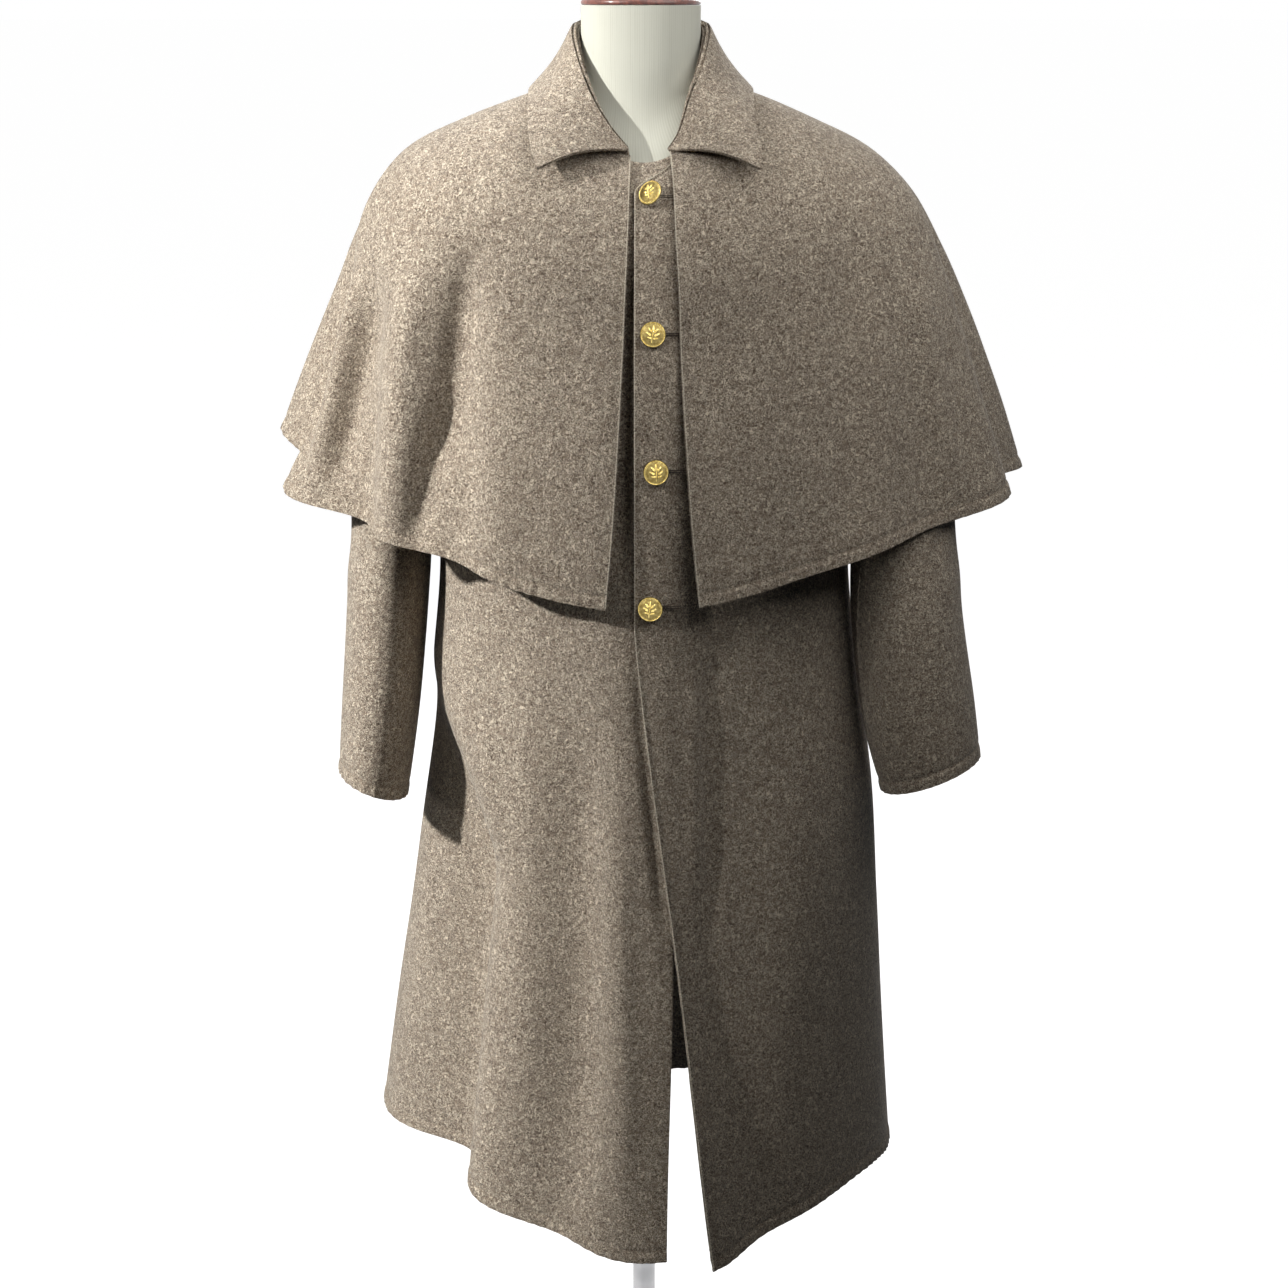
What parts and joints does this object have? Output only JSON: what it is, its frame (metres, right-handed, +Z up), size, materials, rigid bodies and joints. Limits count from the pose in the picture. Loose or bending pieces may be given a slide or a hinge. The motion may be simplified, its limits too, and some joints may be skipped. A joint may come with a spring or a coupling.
{
  "type": "greatcoat on dress form",
  "caption": "Long caped wool greatcoat with a fall collar, open skirt and domed brass buttons, worn by a limbless dress form on a round-based stand.",
  "frame": {"origin": "centre of the stand base's underside, on the floor, under the pole", "axes": "+Z up; the coat's front faces -Y; +X is the wearer's left, on the right of the picture"},
  "size_m": [0.7575, 0.4713, 1.5638],
  "materials": {
    "coat_wool": "thick heathered wool with a curly nap",
    "button_brass": "polished, with a cast relief",
    "form_jersey": "fine ribbed jersey",
    "cap_wood": "reddish, polished",
    "pole_steel": "satin",
    "base_iron": "black enamel"
  },
  "bodies": {
    "root": {"front_left": "coat_wool", "front_right": "coat_wool", "back_left": "coat_wool", "back_right": "coat_wool", "sleeve_left": "coat_wool", "sleeve_right": "coat_wool", "collar": "coat_wool", "cape": "coat_wool", "button_1": "button_brass", "button_2": "button_brass", "button_3": "button_brass", "button_4": "button_brass", "dress_form": "form_jersey", "neck_cap": "cap_wood", "stand_pole": "pole_steel", "stand_base": "base_iron"}
  },
  "joints": []
}
